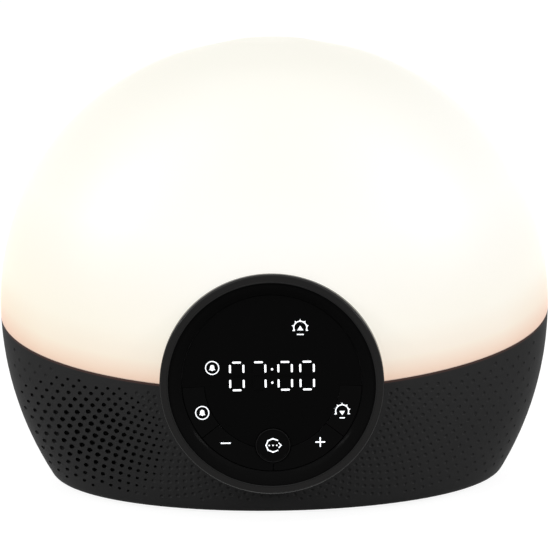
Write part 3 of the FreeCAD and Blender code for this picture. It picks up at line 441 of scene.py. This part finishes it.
def glowing(name, colour, strength):
    """A lit surface whose colour is mottled down to a slightly darker shade."""
    material, shader = plain_finish(name, colour, GUIDE_ROUGHNESS, Emission_Strength=strength)
    shade = tuple(MOTTLE_SHADE * part for part in colour)
    varied(material, noise(material, MOTTLE_SIZE), shade, colour, shader.inputs["Emission Color"])
    return material


dress(glowing("lit_figures", colour=(0.93, 0.95, 0.97), strength=0.95), "digit_segments_lit")
dress(polished_black("smoked_guides", grey=0.0014, roughness=0.10, level=0.02),
      "digit_segments_unlit")

# %% [markdown]
# ## The display's own axes
#
# Signs are drawn flat, in millimetres, to the right and up as seen by someone who reads the clock.
# To lay them on the tilted display, the script needs the display's own axes. The bowl is a full
# ring, so the middle of its box is on the display's axis, and the keys travel along that axis, so
# a key's joint gives the direction. Taking both from the frame keeps the signs in place if the
# solids change.

# %% Axes of the display
press = Vector(frame["joints"][0]["axis"]).normalized()
out = -press
right = Vector((1.0, 0.0, 0.0))
up = out.cross(right)
bowl_low, bowl_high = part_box("fascia_ring")
display_middle = (bowl_low + bowl_high) / 2


def on_display(x, y, lift=0.0):
    """The place x and y millimetres from the display's middle, lifted off it by metres."""
    return display_middle + right * (x * MM) + up * (y * MM) + out * lift


print("display's middle in mm:", [round(v / MM, 2) for v in display_middle])

# %% [markdown]
# A sign has to lie on the cap or the window that carries it. A ray that is sent in from far out,
# along the display's axis, finds how far out the surface is at any place. The search tree for the
# rays is made once for each solid.

# %% Helper that finds a surface
FAR_OUT = 30 * MM
CLEAR_PLACE = (0.0, 15.0)
search_trees = {}


def surface_lift(node, x, y):
    """How far out the surface of a solid is at a place on the display, in metres."""
    if node not in search_trees:
        mesh = nodes[node].data
        corners = [vertex.co for vertex in mesh.vertices]
        search_trees[node] = BVHTree.FromPolygons(corners, [face.vertices for face in mesh.polygons])
    *_, distance = search_trees[node].ray_cast(on_display(x, y, FAR_OUT), press)
    return FAR_OUT - distance


window_lift = surface_lift("display_window", *CLEAR_PLACE)
print("window is", round(window_lift / MM, 2), "mm from the bowl's middle")

# %% [markdown]
# ## Signs
#
# The signs are thin prints: a bell in a ring, minus and plus, a sun, and a ring with three dots for
# the options. They are lit like the figures, only a little less. They could be one image on the
# display, but an image has a fixed sharpness. Here every sign is a list of outlines on the flat.
# Rings and strokes become chains of small four-sided faces, and ends and dots become small round
# ones.

# %% Helpers for strokes
DOT_SIDES = 20
ARC_STEP = 6
ARC_LEAST_STEPS = 6


def polar(radius, degrees, x=0.0, y=0.0):
    turn = math.radians(degrees)
    return (x + radius * math.cos(turn), y + radius * math.sin(turn))


def dot(x, y, radius, sides=DOT_SIDES):
    return [[polar(radius, 360 * step / sides, x, y) for step in range(sides)]]


def stroke(points, width):
    """Faces along a chain of points, with a round face at each point."""
    faces = []
    for (x0, y0), (x1, y1) in zip(points, points[1:]):
        length = math.hypot(x1 - x0, y1 - y0)
        across = ((y0 - y1) / length * width / 2, (x1 - x0) / length * width / 2)
        faces.append([(x0 - across[0], y0 - across[1]), (x1 - across[0], y1 - across[1]),
                      (x1 + across[0], y1 + across[1]), (x0 + across[0], y0 + across[1])])
    for x, y in points:
        faces += dot(x, y, width / 2)
    return faces


def ring_band(radius, width, start, end):
    """Faces round a part of a circle, from one turn to another in degrees."""
    steps = max(ARC_LEAST_STEPS, round(abs(end - start) / ARC_STEP))
    turns = [start + (end - start) * step / steps for step in range(steps + 1)]
    inner = [polar(radius - width / 2, turn) for turn in turns]
    outer = [polar(radius + width / 2, turn) for turn in turns]
    return [[inner[i], outer[i], outer[i + 1], inner[i + 1]] for i in range(steps)]


print("a full ring has", len(ring_band(1.0, 0.1, 0, 360)), "faces and a dot has", DOT_SIDES, "sides")

# %% [markdown]
# A sign's faces overlap where strokes meet. Each face therefore becomes its own thin plate: its
# corners are dropped on the solid below it, and it stands out of the surface by the thickness of
# the ink and reaches as far into it. All plates of a sign share one object that rides on its key.
# Overlapping plates of one colour look like one print, and no outline has to be merged.

# %% Helpers that lay a sign on a solid
INK = 0.03 * MM
sign_material = glowing("lit_signs", colour=(0.90, 0.93, 0.96), strength=0.80)


def add_plate(mesh, face, node):
    """One closed plate on the surface of a solid."""
    lifts = [surface_lift(node, x, y) for x, y in face]
    top = [mesh.verts.new(on_display(x, y, lift + INK)) for (x, y), lift in zip(face, lifts)]
    low = [mesh.verts.new(on_display(x, y, lift - INK)) for (x, y), lift in zip(face, lifts)]
    mesh.faces.new(top)
    mesh.faces.new(low[::-1])
    for start in range(len(face)):
        end = (start + 1) % len(face)
        mesh.faces.new((top[start], low[start], low[end], top[end]))


def print_sign(name, faces, place, node, body):
    """Plates for all faces, moved to a place on the display, on a solid of one body."""
    mesh = bmesh.new()
    for face in faces:
        add_plate(mesh, [(x + place[0], y + place[1]) for x, y in face], node)
    bmesh.ops.recalc_face_normals(mesh, faces=mesh.faces)
    data = bpy.data.meshes.new(name)
    mesh.to_mesh(data)
    mesh.free()
    data.materials.append(sign_material)
    sign = bpy.data.objects.new(name, data)
    scene.collection.objects.link(sign)
    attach(sign, body)
    print(name, "has", len(faces), "plates and rides on", body)


print("a sign is", round(2 * INK / MM, 2), "mm thick")

# %% [markdown]
# The bell is a shape of its own: a round crown, sides that flare to a rim, and a clapper below.
# Its half outline runs from the crown down to the clapper and is mirrored to the other side. A key
# and an indicator in the window both show it, each inside a ring.

# %% Bell signs
BELL_HALF = (
    (0.0, 1.16), (0.34, 1.09), (0.64, 0.84), (0.78, 0.48), (0.82, -0.16), (0.90, -0.44),
    (1.14, -0.68), (1.14, -0.84), (0.40, -0.84), (0.24, -1.10), (0.0, -1.16),
)
BELL_RING_R = 2.48
BELL_RING_WIDTH = 0.38
ALARM_SIGN = (-26.45, -10.97)
INDICATOR_BELL = (-22.35, 6.3)


def bell_in_ring():
    left_side = [(-x, y) for x, y in BELL_HALF[1:-1]]
    outline = list(reversed(BELL_HALF)) + left_side
    return ring_band(BELL_RING_R, BELL_RING_WIDTH, 0, 360) + [outline]


print_sign("alarm_key_sign", bell_in_ring(), ALARM_SIGN, node="alarm_key", body="alarm_key")
print_sign("alarm_indicator", bell_in_ring(), INDICATOR_BELL, node="display_window", body="housing")

# %% [markdown]
# Minus and plus are plain bars with round ends. Both sit on the same circle round the display's
# middle, at the same angle to each side of straight down.

# %% Minus and plus signs
BAR_SIGN_R = 29.0
STRAIGHT_DOWN = 270.0
BAR_SIGN_TURN = 38.0
MINUS_SIGN = polar(BAR_SIGN_R, STRAIGHT_DOWN - BAR_SIGN_TURN)
PLUS_SIGN = polar(BAR_SIGN_R, STRAIGHT_DOWN + BAR_SIGN_TURN)
BAR_REACH = 1.65
BAR_WIDTH = 0.50
minus_faces = stroke([(-BAR_REACH, 0.0), (BAR_REACH, 0.0)], BAR_WIDTH)
plus_faces = minus_faces + stroke([(0.0, -BAR_REACH), (0.0, BAR_REACH)], BAR_WIDTH)
print_sign("minus_key_sign", minus_faces, MINUS_SIGN, node="minus_key", body="minus_key")
print_sign("plus_key_sign", plus_faces, PLUS_SIGN, node="plus_key", body="plus_key")

# %% [markdown]
# The sun is a ring that is open at the bottom, with seven short points. Inside is an arrow head: up
# for the lamp's sunrise, down for the key that sets its light. A short bar closes the bottom. One
# function draws both, because only the arrow head and the bar differ.

# %% Sun signs
SUN_RING_R = 2.43
SUN_RING_WIDTH = 0.42
SUN_RING_START = -26
SUN_RING_END = 206
SUN_POINT_R = 3.30
SUN_POINT_HALF = 10.0
SUN_POINTS = (-22, 14, 52, 90, 128, 166, 202)
SUN_BAR_Y = -2.62
SUN_BAR_WIDTH = 0.45
INDICATOR_SUN = (11.0, 21.35)
LIGHT_SIGN = (26.27, -10.97)


def sun(arrow, middle, width, height, bar_reach):
    """arrow is 1 for an arrow head that points up and -1 for one that points down."""
    faces = ring_band(SUN_RING_R, SUN_RING_WIDTH, SUN_RING_START, SUN_RING_END)
    for turn in SUN_POINTS:
        faces.append([polar(SUN_RING_R, turn - SUN_POINT_HALF), polar(SUN_POINT_R, turn),
                      polar(SUN_RING_R, turn + SUN_POINT_HALF)])
    tip = (0.0, middle + arrow * height / 2)
    foot = middle - arrow * height / 2
    head = [(-width / 2, foot), (width / 2, foot), tip]
    faces.append(head[::arrow])
    return faces + stroke([(-bar_reach, SUN_BAR_Y), (bar_reach, SUN_BAR_Y)], SUN_BAR_WIDTH)


rising_sun = sun(arrow=1, middle=-0.15, width=2.3, height=1.8, bar_reach=1.1)
dimmed_sun = sun(arrow=-1, middle=-0.75, width=2.1, height=1.6, bar_reach=0.8)
print_sign("sunrise_indicator", rising_sun, INDICATOR_SUN, node="display_window", body="housing")
print_sign("light_key_sign", dimmed_sun, LIGHT_SIGN, node="light_key", body="light_key")

# %% [markdown]
# The options sign is a ring of straight pieces that is open at the right, three dots, and a small
# arrow head that points out through the gap. Straight strokes between corners give the ring its
# slightly faceted look, which a smooth band wouldn't have.

# %% Options sign
OPTIONS_SIGN = (0.0, -23.9)
OPTIONS_RING_R = 2.62
OPTIONS_RING_WIDTH = 0.48
OPTIONS_CORNERS = (48, 90, 135, 180, 225, 270, 312)
ARROW_BACK_X = 2.25
ARROW_TIP_X = 3.07
ARROW_HALF = 0.86
ARROW_WIDTH = 0.40
OPTIONS_DOT_GAP = 1.42
OPTIONS_DOT_R = 0.30
OPTIONS_DOT_SIDES = 12


def options_faces():
    corners = [polar(OPTIONS_RING_R, turn) for turn in OPTIONS_CORNERS]
    faces = stroke(corners, OPTIONS_RING_WIDTH)
    arrow = [(ARROW_BACK_X, ARROW_HALF), (ARROW_TIP_X, 0.0), (ARROW_BACK_X, -ARROW_HALF)]
    faces += stroke(arrow, ARROW_WIDTH)
    for x in (-OPTIONS_DOT_GAP, 0.0, OPTIONS_DOT_GAP):
        faces += dot(x, 0.0, OPTIONS_DOT_R, OPTIONS_DOT_SIDES)
    return faces


print_sign("options_sign", options_faces(), OPTIONS_SIGN, node="options_button",
           body="options_button")

# %% [markdown]
# ## Polished edges
#
# Two edges of the display mirror more than the faces beside them: the rim of the round options
# button, and the inner edge of the lip, where the bowl begins. Both show the lamps as thin, faint
# arcs. Each could be a narrow zone of the finish, but such a zone needs a mask round the display's
# axis. A very thin torus that is sunk into the edge is simpler and moves with its body.

# %% Polished edges of the options button and the lip
OPTIONS_RIM_R = 6.38
OPTIONS_RIM_TUBE_R = 0.12
LIP_EDGE_R = 39.3
LIP_EDGE_TUBE_R = 0.35
LIP_FACE_X = 40.5
SUNK_SHARE = 0.6
EDGE_SEGMENTS = 144
EDGE_SIDES = 12
rim_material = polished_black("polished_rim", grey=0.0030, roughness=0.13, level=0.17)


def polished_edge(name, radius, tube_radius, middle, face_x, node, body):
    """A thin torus round a place on the display, sunk into the face that a solid has at face_x."""
    lift = surface_lift(node, face_x, middle[1]) - SUNK_SHARE * tube_radius * MM
    centre = on_display(*middle, lift)
    bpy.ops.mesh.primitive_torus_add(
        major_radius=radius * MM, minor_radius=tube_radius * MM, major_segments=EDGE_SEGMENTS,
        minor_segments=EDGE_SIDES, location=centre, rotation=out.to_track_quat("Z", "Y").to_euler())
    edge = bpy.context.object
    edge.name = name
    edge.data.materials.append(rim_material)
    shade_round(edge)
    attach(edge, body)
    print(name, "at", [round(v / MM, 2) for v in centre], "mm")


polished_edge("options_rim", OPTIONS_RIM_R, OPTIONS_RIM_TUBE_R, OPTIONS_SIGN, OPTIONS_RIM_R,
              node="options_button", body="options_button")
polished_edge("lip_edge", LIP_EDGE_R, LIP_EDGE_TUBE_R, (0.0, 0.0), LIP_FACE_X,
              node="display_collar", body="housing")

# %% [markdown]
# ## What is inside and behind
#
# Nothing of this shows in the photograph, but the lamp comes apart, so each inner part has its own
# finish too: green and white boards, rubber leads, a paper cone, ferrite. To the shader they are
# all grained plastics. What tells them apart is the colour and the roughness, so a table is enough:
# a name, a colour, a roughness and the solids that get the finish.

# %% Finishes of the inner parts
INNER_FINISHES = (
    ("moulded_black", (0.022, 0.022, 0.023), 0.5,
     ("clamp_ring", "display_carrier", "main_board_chips", "dc_jack")),
    ("rubber_black", (0.016, 0.016, 0.016), 0.8,
     ("rubber_feet", "speaker_gasket", "speaker_surround", "speaker_lead", "lamp_lead")),
    ("cloth_black", (0.010, 0.010, 0.010), 0.95, ("grille_cloth",)),
    ("cone_paper", (0.035, 0.034, 0.032), 0.9, ("speaker_cone", "speaker_dust_cap")),
    ("board_green", (0.02, 0.13, 0.06), 0.35, ("display_board", "main_board")),
    ("board_white", (0.80, 0.80, 0.77), 0.4,
     ("light_board", "main_board_connectors", "display_ribbon")),
    ("reflector_white", (0.85, 0.84, 0.80), 0.6, ("reflector_tray", "digit_module")),
    ("ferrite", (0.05, 0.05, 0.055), 0.6, ("speaker_magnet", "main_board_inductor")),
    ("painted_basket", (0.02, 0.02, 0.02), 0.4, ("speaker_basket",)),
    ("phosphor_yellow", (0.90, 0.72, 0.25), 0.4, ("white_light_chips",)),
    ("phosphor_amber", (0.90, 0.36, 0.08), 0.4, ("amber_light_chips",)),
    ("clear_guide", (0.75, 0.78, 0.80), 0.2, ("indicator_light_pipes",)),
)
INNER_LIGHTER = 1.15
for name, colour, roughness, targets in INNER_FINISHES:
    lighter = tuple(min(1.0, INNER_LIGHTER * part) for part in colour)
    dress(grained_plastic(name, colour, lighter, roughness, grain=0.5 * MM, depth=0.02 * MM),
          *targets)

# %% [markdown]
# Screws, the cooler, the cans of the capacitors and the contacts are metal. Metal shows its colour
# only in what it mirrors, so it needs its own kind of finish: fully metallic, in clouds of two close
# tones, with a grain finer than the clouds. The table has the same columns.

# %% Finishes of the metal parts
METALS = (
    ("zinc_screws", (0.50, 0.50, 0.52), 0.35,
     ("rear_cover_screws", "clamp_screws", "tray_screws", "dome_screws", "light_board_screws",
      "speaker_screws", "main_board_screws")),
    ("aluminium", (0.75, 0.75, 0.77), 0.35, ("heat_sink", "main_board_capacitors")),
    ("steel_and_brass", (0.75, 0.66, 0.42), 0.3, ("dc_jack_pin", "key_switches")),
)
METAL_SHADE = 0.85
METAL_CLOUD = 2 * MM
METAL_GRAIN = METAL_CLOUD / 4


def metal(name, colour, roughness):
    material, shader = plain_finish(name, colour, roughness, Metallic=1.0)
    shade = tuple(METAL_SHADE * part for part in colour)
    varied(material, noise(material, METAL_CLOUD), shade, colour, shader.inputs["Base Color"])
    relief(material, shader, noise(material, METAL_GRAIN), depth=0.01 * MM)
    return material


for name, colour, roughness, targets in METALS:
    dress(metal(name, colour, roughness), *targets)

# %% [markdown]
# ## Floor and background
#
# The lamp stands on a pale floor in front of white. The floor itself is a middle grey, so that it
# throws little light up at the charcoal flanks. A glow that only the camera, mirrors and glass can
# see brings it to white, and the weak shadow stays. A floor that is white by its own colour would
# need lamps so strong that everything else would be too light.

# %% Floor
FLOOR_SIZE = 6.0
FLOOR_GREY = (0.20, 0.20, 0.20)
FLOOR_GLOW = 0.90


def seen_directly(owner):
    """One for rays from the camera, and for mirrored and transmitted ones."""
    rays = add_node(owner, "ShaderNodeLightPath").outputs
    either = combined(owner, "MAXIMUM", rays["Is Camera Ray"], rays["Is Glossy Ray"])
    return combined(owner, "MAXIMUM", either, rays["Is Transmission Ray"])


def floor_finish():
    material, shader = plain_finish("pale_floor", FLOOR_GREY, roughness=0.7, Specular_IOR_Level=0.2)
    shader.inputs["Emission Color"].default_value = (1.0, 1.0, 1.0, 1.0)
    scale = add_node(material, "ShaderNodeMath", operation="MULTIPLY")
    scale.inputs[1].default_value = FLOOR_GLOW
    wire(material, seen_directly(material), scale.inputs[0])
    wire(material, scale.outputs["Value"], shader.inputs["Emission Strength"])
    return material


bpy.ops.mesh.primitive_plane_add(size=FLOOR_SIZE, location=(0.0, 0.0, 0.0))
floor = bpy.context.object
floor.name = "floor"
floor.data.materials.append(floor_finish())
print("floor is", FLOOR_SIZE, "m wide")

# %% [markdown]
# The world is white for the same three kinds of ray. To every other ray it is a dim grey room,
# because a white room all round would wash out the charcoal.

# %% World
ROOM_LIGHT = 0.20
world = bpy.data.worlds.new("studio")
world.use_nodes = True
scene.world = world
background = world.node_tree.nodes["Background"]
background.inputs["Color"].default_value = (1.0, 1.0, 1.0, 1.0)
strength = add_node(world, "ShaderNodeMapRange")
strength.inputs["To Min"].default_value = ROOM_LIGHT
strength.inputs["To Max"].default_value = 1.0
wire(world, seen_directly(world), strength.inputs["Value"])
wire(world, strength.outputs["Result"], background.inputs["Strength"])
print("the room gives", ROOM_LIGHT, "of the white background's light")

# %% [markdown]
# ## Lamps
#
# Three soft lamps light the object: a wide one above, and one high on each side in front. Wide
# lamps give the soft, even light of the photograph. A pair of small lamps stands lower and further
# to the sides. They light the flanks a little, and their small size is what draws thin highlights
# on the round edges of the display.

# %% Soft lamps
def soft_lamp(name, place, size, power):
    """A rectangular lamp at a place, turned to the point that the camera looks at."""
    data = bpy.data.lights.new(name, "AREA")
    data.shape = "RECTANGLE"
    data.size, data.size_y = size
    data.energy = power
    lamp = bpy.data.objects.new(name, data)
    lamp.location = place
    aim = Vector(place) - LOOK_AT
    lamp.rotation_euler = aim.to_track_quat("Z", "Y").to_euler()
    scene.collection.objects.link(lamp)
    print(name, "of", power, "W")


soft_lamp("lamp_above", place=(0.0, -0.3, 1.6), size=(1.4, 1.0), power=5.5)
soft_lamp("lamp_left", place=(-0.85, -0.75, 1.15), size=(0.8, 0.8), power=5.8)
soft_lamp("lamp_right", place=(0.85, -0.75, 1.15), size=(0.8, 0.8), power=5.0)
soft_lamp("rim_lamp_left", place=(-0.9, -0.6, 0.55), size=(0.10, 0.25), power=3.2)
soft_lamp("rim_lamp_right", place=(0.9, -0.6, 0.55), size=(0.10, 0.25), power=3.2)
